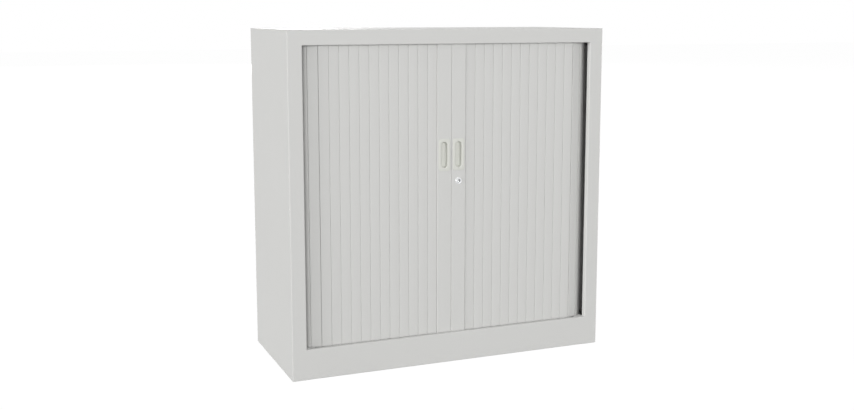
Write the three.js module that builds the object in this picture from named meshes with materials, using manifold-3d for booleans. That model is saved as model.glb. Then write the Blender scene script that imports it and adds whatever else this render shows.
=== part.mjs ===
// Tambour door cabinet: a sheet steel cupboard whose two slatted curtains slide sideways into pockets.
// Millimetres, +Z up. The origin is the middle of the footprint on the floor, and the doors face -Y.
// Left is the side of negative X, as someone standing in front of the doors sees it.
import * as THREE from "three";
import { mergeVertices } from "three/addons/utils/BufferGeometryUtils.js";
import Module from "manifold-3d";

const wasm = await Module();
wasm.setup();

// Overall size
const width = 1000;
const depth = 430;
const height = 1000;

// Folded steel sheet
const sheet = 1.2;
const bendRadius = 2.4;
const bendSteps = 3;
const fitGap = 0.3;
const cutOverrun = 5;

// Front frame round the opening
const stileWidth = 43;
const topRailHeight = 43;
const plinthHeight = 90;
const stileReturnDepth = 16.3;
const railReturnDepth = 14.8;
const plinthLipFold = 10;
const plinthFootFlange = 20;
const gussetClearance = 1.8;
const gussetSides = 48;
const sideFootFlange = 15;
const sideRearFlange = 16;
const skirtDrop = 20;
const skirtFrontSetback = 25;
const skirtRearSetback = 15;

// Curtain slats
const curtainSetback = 17.5;
const slatThickness = 8;
const slatPitch = 30;
const slatEdgeRadius = 0.8;
const slatRunGap = 0.6;
const slatGroove = 0.8;
const beadRadius = 2;
const beadSides = 12;
const neckThickness = 1.6;
const neckBite = 1.5;
const socketReach = 3.4;
const socketClearance = 0.4;
const socketMouthDrop = 1.4;
const socketSteps = 8;
const rearLipReach = 1.3;
const slatRearRelief = 2.2;
const socketSwingShare = 0.22;

// Leading slats
const leadWidth = 46;
const leadProud = 1.8;
const leadMeetingGap = 0.4;
const leadEdgeRadius = 1.2;

// Curved guide tracks
const trackWidth = 9.6;
const trackHeight = 15.7;
const trackGrooveWidth = 6;
const trackGrooveDepth = 8;
const trackEndWall = 2;
const trackMeetingGap = 0.3;
const trackLevelDrop = 2;
const cornerRadius = 85;
const cornerSteps = 14;
const pocketTrackInset = 16;
const trackRearGap = 2.8;
const pinRoofGap = 0.8;

// End glides of the leading slats
const glideHeight = 7;
const glideInset = 3;
const glidePinInset = 4;
const glidePinSpacing = 16;
const glidePinRadius = 2.2;
const glideFrontGap = 0.3;

// Recessed pulls
const pullWidth = 38;
const pullHeight = 95;
const pullCornerRadius = 7;
const pullPlate = 1;
const pullLevel = 630.5;
const cupWidth = 30;
const cupHeight = 87;
const cupDepth = 12.6;
const cupFloor = 1.5;
const cupClearance = 0.5;
const recessWidth = 20;
const recessHeight = 77;
const roundSteps = 6;

// Lock
const lockLevel = 551;
const lockFlangeRadius = 9.75;
const lockFlangeThickness = 1.8;
const lockFlangeChamfer = 0.7;
const lockBarrelRadius = 8;
const lockBarrelLength = 18.6;
const lockHoleClearance = 0.4;
const lockSides = 24;
const plugRadius = 5.5;
const plugClearance = 0.4;
const plugRecess = 0.4;
const keySlotWidth = 2;
const keySlotHeight = 7;
const keySlotDepth = 6;
const tailSquare = 7;
const tailLength = 4;
const nutAcrossCorners = 25;
const nutThickness = 4;
const camThickness = 2.5;
const camHubRadius = 9;
const camArmWidth = 14;
const camReach = 38;
const camNotchRadius = 31;
const camNotchWidth = 6;
const keeperPlateWidth = 20;
const keeperPlateHeight = 26;
const keeperPlateThickness = 2.5;
const keeperEdgeGap = 2;
const keeperPegRadius = 2.2;
const keeperPegLength = 11;

// Pocket liners and their shelf slots
const linerInset = 57;
const linerFrontSetback = 55;
const linerRearGap = 3.4;
const linerFlange = 11;
const slotWidth = 11;
const slotHeight = 5;
const slotPitch = 32;
const slotTopMargin = 80;
const firstSlotLevel = 130;
const frontColumnSetback = 95;
const rearColumnInset = 55;

// Floor pan and head pan
const panSideGap = 0.6;
const panFrontSetback = 29;
const panRearGap = 4.2;
const panTrackGap = 0.8;
const notchClearance = 0.6;
const headFrontSetback = 16.8;
const headRearGap = 4;

// Shelves
const shelfSideGap = 0.8;
const shelfFrontSetback = 47;
const shelfRearGap = 7;
const shelfFrontFold = 25;
const shelfFrontReturn = 12;
const shelfSkirt = 20;
const lugClearance = 0.5;
const lugPast = 0.4;
const lugDrop = 8;
const lowerShelfShare = 0.33;
const upperShelfShare = 0.7;

// Levelling feet
const footSideInset = 32;
const footFrontSetback = 40;
const footRearSetback = 35;
const footPadRadius = 15;
const footPadHeight = 5;
const footConeHeight = 4;
const footStemRadius = 5;
const footNutRadius = 8.5;
const footNutHeight = 8;
const footSides = 16;

// Places that follow from the sizes
const frontY = -depth / 2;
const backY = depth / 2;
const halfWidth = width / 2;
const openingHalf = halfWidth - stileWidth;
const openingTop = height - topRailHeight;
const sideInner = halfWidth - sheet;
const topUnderside = height - sheet;
const backPanelFront = backY - sheet;
const curtainY = frontY + curtainSetback + slatThickness / 2;
const leadFaceY = curtainY - slatThickness / 2 - leadProud;
const leadBackY = curtainY + slatThickness / 2;
const leadHinge = leadWidth + socketReach + slatGroove / 2;
const leadEdge = leadWidth - slatGroove / 2;
const leadMiddle = (leadMeetingGap + leadEdge) / 2;
const floorLevel = plinthHeight - trackLevelDrop;
const headLevel = openingTop + trackLevelDrop;
const slatBottom = floorLevel + slatRunGap;
const slatTop = headLevel - slatRunGap;
const pinBottom = floorLevel - trackGrooveDepth + fitGap;
const pinTop = headLevel + trackGrooveDepth - pinRoofGap;
const panFlangeTop = floorLevel - trackHeight - fitGap;
const headPanUnderside = headLevel + trackHeight + fitGap;
const pocketX = halfWidth - pocketTrackInset;
const cornerStartX = pocketX - cornerRadius;
const cornerEndY = curtainY + cornerRadius;
const cornerLength = cornerRadius * Math.PI / 2;
const openTravel = cornerStartX - glideInset - glidePinInset - glidePinSpacing;
const openLeadReach = openTravel + leadHinge + beadRadius;
const trackEnd = cornerStartX + cornerLength + backPanelFront - trackRearGap - cornerEndY;
const linerInner = halfWidth - linerInset;
const linerOuter = linerInner + sheet;

// Materials
const paint = { color: 0xcfcfce, roughness: 0.5, metalness: 0 };
const slatPlastic = { color: 0xcacac9, roughness: 0.45, metalness: 0 };
const pullPlastic = { color: 0xd1d2cb, roughness: 0.4, metalness: 0 };
const chrome = { color: 0xd0d2d4, roughness: 0.12, metalness: 1 };
const zinc = { color: 0xb4b7b8, roughness: 0.4, metalness: 1 };
const nylon = { color: 0xe4e2da, roughness: 0.5, metalness: 0 };
const trackPlastic = { color: 0x8c8e90, roughness: 0.5, metalness: 0 };

// One closed skin with shared corners, its faces pointing out
function welded(source) {
  const bare = source.clone();
  bare.deleteAttribute("normal");
  bare.deleteAttribute("uv");
  const merged = mergeVertices(bare);
  const corners = merged.index.array;
  const at = merged.attributes.position;
  const a = new THREE.Vector3();
  const b = new THREE.Vector3();
  const c = new THREE.Vector3();
  const kept = [];
  let volume = 0;
  for (let i = 0; i < corners.length; i += 3) {
    const [p, q, r] = corners.slice(i, i + 3);
    if (p === q || q === r || r === p) continue;
    kept.push(p, q, r);
    volume += a.fromBufferAttribute(at, p).dot(b.fromBufferAttribute(at, q).cross(c.fromBufferAttribute(at, r)));
  }
  if (volume < 0) kept.reverse();
  merged.setIndex(kept);
  return merged;
}

function toSolid(geometry) {
  const skin = welded(geometry);
  const vertProperties = new Float32Array(skin.attributes.position.array);
  const triVerts = new Uint32Array(skin.index.array);
  return new wasm.Manifold(new wasm.Mesh({ numProp: 3, vertProperties, triVerts }));
}

function toGeometry(solid) {
  const { vertProperties, triVerts } = solid.getMesh();
  const geometry = new THREE.BufferGeometry();
  geometry.setAttribute("position", new THREE.BufferAttribute(vertProperties, 3));
  geometry.setIndex(new THREE.BufferAttribute(triVerts, 1));
  return geometry;
}

function joined(...geometries) {
  return toGeometry(geometries.map(toSolid).reduce((whole, piece) => whole.add(piece)));
}

function cutBy(geometry, ...tools) {
  return toGeometry(tools.map(toSolid).reduce((whole, tool) => whole.subtract(tool), toSolid(geometry)));
}

function mirrored(geometry) {
  return welded(geometry.clone().scale(-1, 1, 1));
}

// Basic shapes
function block([x0, x1], [y0, y1], [z0, z1]) {
  const box = new THREE.BoxGeometry(x1 - x0, y1 - y0, z1 - z0);
  return box.translate((x0 + x1) / 2, (y0 + y1) / 2, (z0 + z1) / 2);
}

function upright(points, [z0, z1]) {
  const shape = new THREE.Shape(points.map(([x, y]) => new THREE.Vector2(x, y)));
  const geometry = new THREE.ExtrudeGeometry(shape, { depth: z1 - z0, bevelEnabled: false, steps: 1 });
  return geometry.translate(0, 0, z0);
}

function acrossX(points, [x0, x1]) {
  const turn = new THREE.Matrix4().makeBasis(
    new THREE.Vector3(0, 1, 0),
    new THREE.Vector3(0, 0, 1),
    new THREE.Vector3(1, 0, 0),
  );
  return upright(points, [x0, x1]).applyMatrix4(turn);
}

function acrossY(points, [y0, y1]) {
  return upright(points, [-y1, -y0]).rotateX(Math.PI / 2);
}

function circle([x, y], radius, sides) {
  return Array.from({ length: sides }, (_, i) => {
    const angle = (i / sides) * 2 * Math.PI;
    return [x + radius * Math.cos(angle), y + radius * Math.sin(angle)];
  });
}

function roundedRectangle([x, z], wide, high, radius) {
  const corners = [[1, 1], [-1, 1], [-1, -1], [1, -1]];
  return corners.flatMap(([sx, sz], corner) =>
    Array.from({ length: roundSteps + 1 }, (_, i) => {
      const angle = (corner + i / roundSteps) * Math.PI / 2;
      const cx = x + sx * (wide / 2 - radius);
      const cz = z + sz * (high / 2 - radius);
      return [cx + radius * Math.cos(angle), cz + radius * Math.sin(angle)];
    }).filter(([px], i) => i === 0 || wide > 2 * radius || sx * (px - x) > 0 || i < roundSteps),
  );
}

// The outline of a folded sheet: the path is its outer face, and the metal lies on the left of the path
function folded(path) {
  const corners = path.map(([x, y]) => new THREE.Vector2(x, y));
  const leftOf = (v) => new THREE.Vector2(-v.y, v.x);
  const outer = [];
  const inner = [];
  const last = corners.length - 1;
  corners.forEach((corner, i) => {
    const into = corner.clone().sub(corners[Math.max(i - 1, 0)]).normalize();
    const away = corners[Math.min(i + 1, last)].clone().sub(corner).normalize();
    if (i === 0 || i === last) {
      const side = leftOf(i === 0 ? away : into);
      outer.push(corner);
      inner.push(corner.clone().addScaledVector(side, sheet));
      return;
    }
    const bend = Math.atan2(into.cross(away), into.dot(away));
    const turn = Math.sign(bend);
    const reach = turn > 0 ? bendRadius : bendRadius - sheet;
    const centre = corner.clone()
      .addScaledVector(into, -reach * Math.tan(Math.abs(bend) / 2))
      .addScaledVector(leftOf(into), turn * reach);
    for (let step = 0; step <= bendSteps; step += 1) {
      const spoke = leftOf(into).multiplyScalar(-turn).rotateAround(new THREE.Vector2(), bend * step / bendSteps);
      outer.push(centre.clone().addScaledVector(spoke, reach));
      inner.push(centre.clone().addScaledVector(spoke, reach - turn * sheet));
    }
  });
  return [...outer, ...inner.reverse()].map((v) => [v.x, v.y]);
}

const cabinet = new THREE.Group();

function place(name, geometry, finish, position = [0, 0, 0], turn = 0) {
  const mesh = new THREE.Mesh(welded(geometry), new THREE.MeshStandardMaterial({ ...finish, flatShading: true }));
  mesh.name = name;
  mesh.position.set(...position);
  mesh.rotation.z = turn;
  cabinet.add(mesh);
}

// A piece made for the right-hand side, and its mirror image on the left
function placePair(name, geometry, finish) {
  place(`left_${name}`, mirrored(geometry), finish);
  place(`right_${name}`, geometry, finish);
}

// Curtain path, seen from above: along the front, round the corner and back along the side
function pathPoint(travel, offset = 0) {
  if (travel <= cornerStartX) return [travel, curtainY - offset];
  const angle = Math.min((travel - cornerStartX) / cornerRadius, Math.PI / 2);
  const reach = cornerRadius + offset;
  const past = Math.max(travel - cornerStartX - cornerLength, 0);
  return [cornerStartX + reach * Math.sin(angle), cornerEndY - reach * Math.cos(angle) + past];
}

function pathStrip(from, to, outward, inward = outward) {
  const bends = Array.from({ length: cornerSteps + 1 }, (_, i) => cornerStartX + cornerLength * i / cornerSteps);
  const stations = [from, ...bends, to];
  const outside = stations.map((travel) => pathPoint(travel, outward));
  const inside = stations.map((travel) => pathPoint(travel, -inward));
  return [...outside, ...inside.reverse()];
}

// Side panels: outer skin, front stile with its return, rear flange and foot flange
function sidePanel() {
  const flangeFace = backPanelFront - fitGap;
  const plan = folded([
    [openingHalf, frontY + stileReturnDepth],
    [openingHalf, frontY],
    [halfWidth, frontY],
    [halfWidth, flangeFace],
    [halfWidth - sideRearFlange, flangeFace],
  ]);
  const skin = upright(plan, [0, topUnderside - fitGap]);
  const footFlange = block(
    [halfWidth - sideFootFlange, sideInner + sheet / 2],
    [frontY + bendRadius, flangeFace - bendRadius],
    [0, sheet],
  );
  return joined(skin, footFlange);
}
placePair("side_panel", sidePanel(), paint);

// Top panel: cover plate, folded front rail and the skirts welded inside the side panels
function topPanel() {
  const section = folded([
    [backY, height],
    [frontY, height],
    [frontY, openingTop],
    [frontY + railReturnDepth, openingTop],
  ]);
  const railHalf = openingHalf - fitGap;
  const skirtOuter = sideInner - fitGap;
  const skirt = block(
    [skirtOuter - sheet, skirtOuter],
    [frontY + skirtFrontSetback, backY - skirtRearSetback],
    [height - skirtDrop, topUnderside + sheet / 2],
  );
  return joined(
    acrossX(section, [-railHalf, railHalf]),
    block([railHalf - bendRadius, halfWidth], [frontY, backY], [topUnderside, height]),
    block([-halfWidth, bendRadius - railHalf], [frontY, backY], [topUnderside, height]),
    skirt,
    mirrored(skirt),
  );
}

// The cover's front corners keep the rail's bend only between the stiles
place("top_panel", topPanel(), paint);

// Front plinth: the rail under the doors, with its flange on the floor and its top lip, which reaches back to
// the curtain where that turns the corner
function frontPlinth() {
  const lipEdge = frontY + railReturnDepth;
  const section = folded([
    [lipEdge, plinthHeight - plinthLipFold],
    [lipEdge, plinthHeight],
    [frontY, plinthHeight],
    [frontY, 0],
    [frontY + plinthFootFlange, 0],
  ]);
  const plinthHalf = openingHalf - fitGap;
  const corner = block(
    [openLeadReach + slatRunGap, plinthHalf],
    [lipEdge - sheet, cornerEndY],
    [plinthHeight - sheet, plinthHeight],
  );
  const sweep = cornerRadius + slatThickness / 2 + gussetClearance;
  const curtain = upright(
    circle([cornerStartX, cornerEndY], sweep, gussetSides),
    [plinthHeight - cutOverrun, plinthHeight + cutOverrun],
  );
  const gusset = cutBy(corner, curtain);
  return joined(acrossX(section, [-plinthHalf, plinthHalf]), gusset, mirrored(gusset));
}
place("front_plinth", frontPlinth(), paint);

// Floor pan: raised cupboard floor with a flange round it that carries the lower tracks and the liners. Its
// front corners are cut back along the tracks' bend.
function floorPan() {
  const panHalf = linerInner - panSideGap;
  const panFront = frontY + panFrontSetback;
  const panBack = backY - panRearGap;
  const flangeHalf = sideInner - fitGap;
  const flangeFront = frontY + bendRadius + fitGap;
  const besideTracks = (wall) => {
    const strip = pathStrip(0, trackEnd, trackWidth, trackWidth / 2 + panTrackGap + wall);
    const bend = upright(strip, [panFlangeTop - sheet - 2 * cutOverrun, floorLevel + cutOverrun]);
    return [bend, mirrored(bend)];
  };
  const raised = block([-panHalf, panHalf], [panFront, panBack], [panFlangeTop - sheet, floorLevel]);
  const flange = block([-flangeHalf, flangeHalf], [flangeFront, panBack], [panFlangeTop - sheet, panFlangeTop]);
  const hollow = block(
    [sheet - panHalf, panHalf - sheet],
    [panFront + sheet, panBack + cutOverrun],
    [panFlangeTop - sheet - cutOverrun, floorLevel - sheet],
  );
  const notch = block(
    [openingHalf - notchClearance, openingHalf + sheet + notchClearance],
    [flangeFront - cutOverrun, frontY + stileReturnDepth + notchClearance],
    [panFlangeTop - sheet - cutOverrun, panFlangeTop + cutOverrun],
  );
  const top = cutBy(raised, ...besideTracks(0));
  return cutBy(joined(top, flange), cutBy(hollow, ...besideTracks(sheet)), notch, mirrored(notch));
}
place("base_panel", floorPan(), paint);

// Head pan: the ceiling that carries the upper tracks, flanged up to the cover plate
function headPan() {
  const panHalf = sideInner - fitGap - sheet - socketClearance;
  const panFront = frontY + headFrontSetback;
  const panBack = backY - headRearGap;
  const hollow = block(
    [sheet - panHalf, panHalf - sheet],
    [panFront + sheet, panBack - sheet],
    [headPanUnderside + sheet, height + cutOverrun],
  );
  const whole = block([-panHalf, panHalf], [panFront, panBack], [headPanUnderside, topUnderside - fitGap]);
  return cutBy(whole, hollow);
}
place("head_panel", headPan(), paint);

// Back panel, screwed on the rear flanges
const backHalf = halfWidth - sheet / 2;
place("back_panel", block([-backHalf, backHalf], [backPanelFront, backY], [sheet, topUnderside - fitGap]), paint);

// Pocket liners: the cupboard's inner walls, with two columns of shelf slots
const slotColumns = [frontY + frontColumnSetback, backY - rearColumnInset];
const slotsPerColumn = 1 + Math.floor((headPanUnderside - slotTopMargin - firstSlotLevel) / slotPitch);
const slotLevel = (index) => firstSlotLevel + index * slotPitch;

function pocketLiner() {
  const rear = backPanelFront - linerRearGap;
  const plan = folded([
    [linerInner + linerFlange, rear],
    [linerInner, rear],
    [linerInner, frontY + linerFrontSetback],
  ]);
  const wall = upright(plan, [panFlangeTop + fitGap, headPanUnderside - fitGap]);
  const slots = slotColumns.flatMap((y) =>
    Array.from({ length: slotsPerColumn }, (_, i) => block(
      [linerInner - cutOverrun, linerOuter + cutOverrun],
      [y - slotWidth / 2, y + slotWidth / 2],
      [slotLevel(i) - slotHeight / 2, slotLevel(i) + slotHeight / 2],
    )),
  );
  return cutBy(wall, ...slots);
}
placePair("liner", pocketLiner(), paint);

// Shelves: trays with folded edges, whose lugs hook into the liners' slots
function shelf(slotIndex) {
  const lugLevel = slotLevel(slotIndex);
  const level = lugLevel + lugDrop;
  const front = frontY + shelfFrontSetback;
  const rear = backPanelFront - shelfRearGap;
  const half = linerInner - shelfSideGap;
  const section = folded([
    [rear, level - shelfSkirt],
    [rear, level],
    [front, level],
    [front, level - shelfFrontFold],
    [front + shelfFrontReturn, level - shelfFrontFold],
  ]);
  const skirt = block(
    [half - sheet, half],
    [front + sheet / 2, rear - sheet / 2],
    [level - shelfSkirt, level - sheet / 2],
  );
  const lugWidth = slotWidth - 2 * lugClearance;
  const lugHeight = slotHeight - 2 * lugClearance;
  const lugs = slotColumns.map((y) => block(
    [half - sheet / 2, linerOuter + lugPast],
    [y - lugWidth / 2, y + lugWidth / 2],
    [lugLevel - lugHeight / 2, lugLevel + lugHeight / 2],
  ));
  return joined(acrossX(section, [-half, half]), skirt, mirrored(skirt), ...lugs, ...lugs.map(mirrored));
}
place("shelf_lower", shelf(Math.round(lowerShelfShare * slotsPerColumn)), paint);
place("shelf_upper", shelf(Math.round(upperShelfShare * slotsPerColumn)), paint);

// Guide tracks: channels whose groove leads the slats' pins round the corner
function guideTrack(grooveAtTop) {
  const channel = [0, trackHeight];
  const groove = grooveAtTop
    ? [trackHeight - trackGrooveDepth, trackHeight + cutOverrun]
    : [-cutOverrun, trackGrooveDepth];
  return cutBy(
    upright(pathStrip(trackMeetingGap, trackEnd, trackWidth / 2), channel),
    upright(pathStrip(-cutOverrun, trackEnd - trackEndWall, trackGrooveWidth / 2), groove),
  );
}
placePair("bottom_track", guideTrack(true).translate(0, 0, floorLevel - trackHeight), trackPlastic);
placePair("top_track", guideTrack(false).translate(0, 0, headLevel), trackPlastic);

// Slat section: a socket at the inner edge takes the bead of the slat before it, and a bead ends the outer edge.
// In it x runs outwards along the curtain from the inner hinge, and y runs towards the back. The rear of both
// edges is cut away, so that the slats can turn on each other round the track's corner.
function outerEdge(hinge, front, rear, radius) {
  const end = hinge - socketReach - slatGroove;
  const neck = neckThickness / 2;
  return [
    [end - radius, front],
    [end, front + radius],
    [end, -neck],
    [hinge - neckBite, -neck],
    [hinge - neckBite, neck],
    [end, neck],
    [end - slatRearRelief, rear],
  ];
}

function slatSection() {
  const half = slatThickness / 2;
  const bore = beadRadius + socketClearance;
  const rearLip = Math.PI * (1 - socketSwingShare) - Math.asin((neckThickness / 2 + fitGap) / bore);
  const frontLip = Math.asin(socketMouthDrop / bore) - Math.PI;
  const sweep = rearLip - frontLip;
  const socket = Array.from({ length: socketSteps + 1 }, (_, i) => {
    const angle = rearLip - sweep * i / socketSteps;
    const rim = i === 0 || i === socketSteps ? bore : bore / Math.cos(sweep / socketSteps / 2);
    return [rim * Math.cos(angle), rim * Math.sin(angle)];
  });
  return [
    [slatEdgeRadius - socketReach, -half],
    ...outerEdge(slatPitch, -half, half, slatEdgeRadius),
    [-rearLipReach, half],
    ...socket,
    [-socketReach, -socketMouthDrop],
    [-socketReach, slatEdgeRadius - half],
  ];
}

function slat() {
  return joined(
    upright(slatSection(), [slatBottom, slatTop]),
    upright(circle([slatPitch, 0], beadRadius, beadSides), [pinBottom, pinTop]),
  );
}

// Each slat is a straight link, so its outer hinge is where its own length next meets the path
function nextHinge(travel) {
  const [x, y] = pathPoint(travel);
  let near = travel;
  let far = travel + 2 * slatPitch;
  for (let step = 0; step < 40; step += 1) {
    const middle = (near + far) / 2;
    const [mx, my] = pathPoint(middle);
    if (Math.hypot(mx - x, my - y) < slatPitch) near = middle;
    else far = middle;
  }
  return near;
}

// The curtain's slats start at the leading slat and run on until the stile hides them
const rightSlat = slat();
const leftSlat = mirrored(rightSlat);
let hinge = leadHinge;
for (let index = 1; pathPoint(hinge)[0] < openingHalf; index += 1) {
  const next = nextHinge(hinge);
  const [x, y] = pathPoint(hinge);
  const [nextX, nextY] = pathPoint(next);
  const turn = Math.atan2(nextY - y, nextX - x);
  const number = String(index).padStart(2, "0");
  place(`left_slat_${number}`, leftSlat, slatPlastic, [-x, y, 0], -turn);
  place(`right_slat_${number}`, rightSlat, slatPlastic, [x, y, 0], turn);
  hinge = next;
}

// Leading slats: wider and slightly proud, cut for the pull, and on the right for the lock
function leadSlat() {
  const half = slatThickness / 2;
  const proudFace = -half - leadProud;
  const bodyEnds = [slatBottom + glideHeight + fitGap, slatTop - glideHeight - fitGap];
  const body = upright([
    [leadMeetingGap, proudFace + sheet],
    ...outerEdge(leadHinge, proudFace + sheet, half, slatEdgeRadius),
    [leadMeetingGap, half],
  ], bodyEnds);
  const face = upright([
    [leadMeetingGap + leadEdgeRadius, proudFace],
    [leadEdge - leadEdgeRadius, proudFace],
    [leadEdge, proudFace + leadEdgeRadius],
    [leadEdge, -half],
    [leadMeetingGap, -half],
    [leadMeetingGap, proudFace + leadEdgeRadius],
  ], [slatBottom, slatTop]);
  const bead = upright(circle([leadHinge, 0], beadRadius, beadSides), [slatBottom, slatTop]);
  const pocket = acrossY(
    roundedRectangle(
      [leadMiddle, pullLevel],
      cupWidth + 2 * cupClearance,
      cupHeight + 2 * cupClearance,
      recessWidth / 2 + cupClearance,
    ),
    [proudFace - cutOverrun, half + cutOverrun],
  );
  return cutBy(joined(body, face, bead), pocket);
}

function lockHole() {
  const half = slatThickness / 2;
  const hole = circle([leadMiddle, lockLevel], lockBarrelRadius + lockHoleClearance, lockSides);
  return acrossY(hole, [-half - leadProud - cutOverrun, half + cutOverrun]);
}

place("left_lead_slat", mirrored(leadSlat()), slatPlastic, [0, curtainY, 0]);
place("right_lead_slat", cutBy(leadSlat(), lockHole()), slatPlastic, [0, curtainY, 0]);

// End glides: nylon blocks behind the leading slats' faces, with two pins each in the track groove. The pins
// are at the meeting edge, so that they stay in the straight stretch when the door is open.
function endGlide(bodyEnds, pinEnds) {
  const front = curtainY - slatThickness / 2 + glideFrontGap;
  const pinAt = (x) => upright(circle([x, curtainY], glidePinRadius, beadSides), pinEnds);
  return joined(
    block([glideInset, leadEdge - glideInset], [front, leadBackY], bodyEnds),
    pinAt(glideInset + glidePinInset),
    pinAt(glideInset + glidePinInset + glidePinSpacing),
  );
}
placePair("bottom_glide", endGlide([slatBottom, slatBottom + glideHeight], [pinBottom, slatBottom + fitGap]), nylon);
placePair("top_glide", endGlide([slatTop - glideHeight, slatTop], [slatTop - fitGap, pinTop]), nylon);

// Recessed pulls: a thin plate on the slat's face with a moulded cup behind it
function recessedPull() {
  const middle = [leadMiddle, pullLevel];
  const plateBack = leadFaceY - fitGap;
  const cupBack = plateBack + cupDepth;
  const plate = roundedRectangle(middle, pullWidth, pullHeight, pullCornerRadius);
  const cup = roundedRectangle(middle, cupWidth, cupHeight, recessWidth / 2);
  const recess = roundedRectangle(middle, recessWidth, recessHeight, recessWidth / 2);
  return cutBy(
    joined(acrossY(plate, [plateBack - pullPlate, plateBack]), acrossY(cup, [plateBack - pullPlate / 2, cupBack])),
    acrossY(recess, [plateBack - pullPlate - cutOverrun, cupBack - cupFloor]),
  );
}
placePair("handle", recessedPull(), pullPlastic);

// Lock: barrel and flange, turning plug, hook cam and back nut on the right, keeper on the left
const lockPlace = [leadMiddle, 0, lockLevel];
const flangeBack = leadFaceY - fitGap;
const flangeFront = flangeBack - lockFlangeThickness;
const barrelEnd = flangeBack + lockBarrelLength;
const boreRadius = plugRadius + plugClearance;

function lockBody() {
  const profile = [
    [boreRadius, flangeFront],
    [lockFlangeRadius - lockFlangeChamfer, flangeFront],
    [lockFlangeRadius, flangeFront + lockFlangeChamfer],
    [lockFlangeRadius, flangeBack],
    [lockBarrelRadius, flangeBack],
    [lockBarrelRadius, barrelEnd],
    [boreRadius, barrelEnd],
    [boreRadius, flangeFront],
  ];
  return new THREE.LatheGeometry(profile.map(([r, y]) => new THREE.Vector2(r, y)), lockSides);
}
place("lock_body", lockBody(), chrome, lockPlace);

function lockPlug() {
  const face = flangeFront + plugRecess;
  const round = acrossY(circle([0, 0], plugRadius, lockSides), [face, barrelEnd]);
  const square = block(
    [-tailSquare / 2, tailSquare / 2],
    [barrelEnd - sheet, barrelEnd + tailLength],
    [-tailSquare / 2, tailSquare / 2],
  );
  const keySlot = block(
    [-keySlotWidth / 2, keySlotWidth / 2],
    [face - cutOverrun, face + keySlotDepth],
    [-keySlotHeight / 2, keySlotHeight / 2],
  );
  return cutBy(joined(round, square), keySlot);
}
place("lock_plug", lockPlug(), chrome, lockPlace);

function lockCam() {
  const ends = [barrelEnd + fitGap, barrelEnd + fitGap + camThickness];
  const hub = acrossY(circle([0, 0], camHubRadius, lockSides), ends);
  const arm = block([-camArmWidth / 2, camArmWidth / 2], ends, [0, camReach]);
  const past = [ends[0] - cutOverrun, ends[1] + cutOverrun];
  const notch = block(
    [-camArmWidth / 2 - cutOverrun, keeperPegRadius + fitGap],
    past,
    [camNotchRadius - camNotchWidth / 2, camNotchRadius + camNotchWidth / 2],
  );
  const holeHalf = tailSquare / 2 + fitGap;
  const squareHole = block([-holeHalf, holeHalf], past, [-holeHalf, holeHalf]);
  return cutBy(joined(hub, arm), notch, squareHole);
}
place("lock_cam", lockCam(), zinc, lockPlace);

function lockNut() {
  const ends = [leadBackY + fitGap, leadBackY + fitGap + nutThickness];
  const hexagon = acrossY(circle([0, 0], nutAcrossCorners / 2, 6), ends);
  const hole = circle([0, 0], lockBarrelRadius + lockHoleClearance, lockSides);
  return cutBy(hexagon, acrossY(hole, [ends[0] - cutOverrun, ends[1] + cutOverrun]));
}
place("lock_nut", lockNut(), zinc, lockPlace);

function lockKeeper() {
  const plateEnds = [leadBackY + fitGap, leadBackY + fitGap + keeperPlateThickness];
  const outerX = -leadMeetingGap - keeperEdgeGap;
  const plate = block(
    [outerX - keeperPlateWidth, outerX],
    plateEnds,
    [lockLevel - keeperPlateHeight / 2, lockLevel + keeperPlateHeight / 2],
  );
  const pegPlace = [leadMiddle - camNotchRadius, lockLevel];
  const pegEnds = [plateEnds[0] + sheet, plateEnds[0] + keeperPegLength];
  return joined(plate, acrossY(circle(pegPlace, keeperPegRadius, beadSides), pegEnds));
}
place("left_keeper", lockKeeper(), zinc);

// Levelling feet, screwed up under the floor pan's flange
function levellingFoot() {
  const top = panFlangeTop - sheet - fitGap;
  const profile = [
    [0, 0],
    [footPadRadius, 0],
    [footPadRadius, footPadHeight],
    [footNutRadius, footPadHeight + footConeHeight],
    [footStemRadius, footPadHeight + footConeHeight],
    [footStemRadius, top - footNutHeight],
    [footNutRadius, top - footNutHeight],
    [footNutRadius, top],
    [0, top],
  ];
  return new THREE.LatheGeometry(profile.map(([r, z]) => new THREE.Vector2(r, z)), footSides).rotateX(Math.PI / 2);
}
const footX = halfWidth - footSideInset;
for (const [end, footY] of [["front", frontY + footFrontSetback], ["rear", backY - footRearSetback]]) {
  place(`left_${end}_foot`, levellingFoot(), zinc, [-footX, footY, 0]);
  place(`right_${end}_foot`, levellingFoot(), zinc, [footX, footY, 0]);
}

export default cabinet;
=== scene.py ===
# %% [markdown]
# # A tambour door cabinet
# This lesson dresses a sheet steel office cupboard whose two slatted curtains slide sideways into
# its sides. The construction model is loaded first, as a frame that never moves. Each piece made
# here takes its size and place from that frame, rides on the body that carries it, and hides the
# plain solid that it stands for, if there is one.

# %% Load the frame
import math
import random

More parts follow.
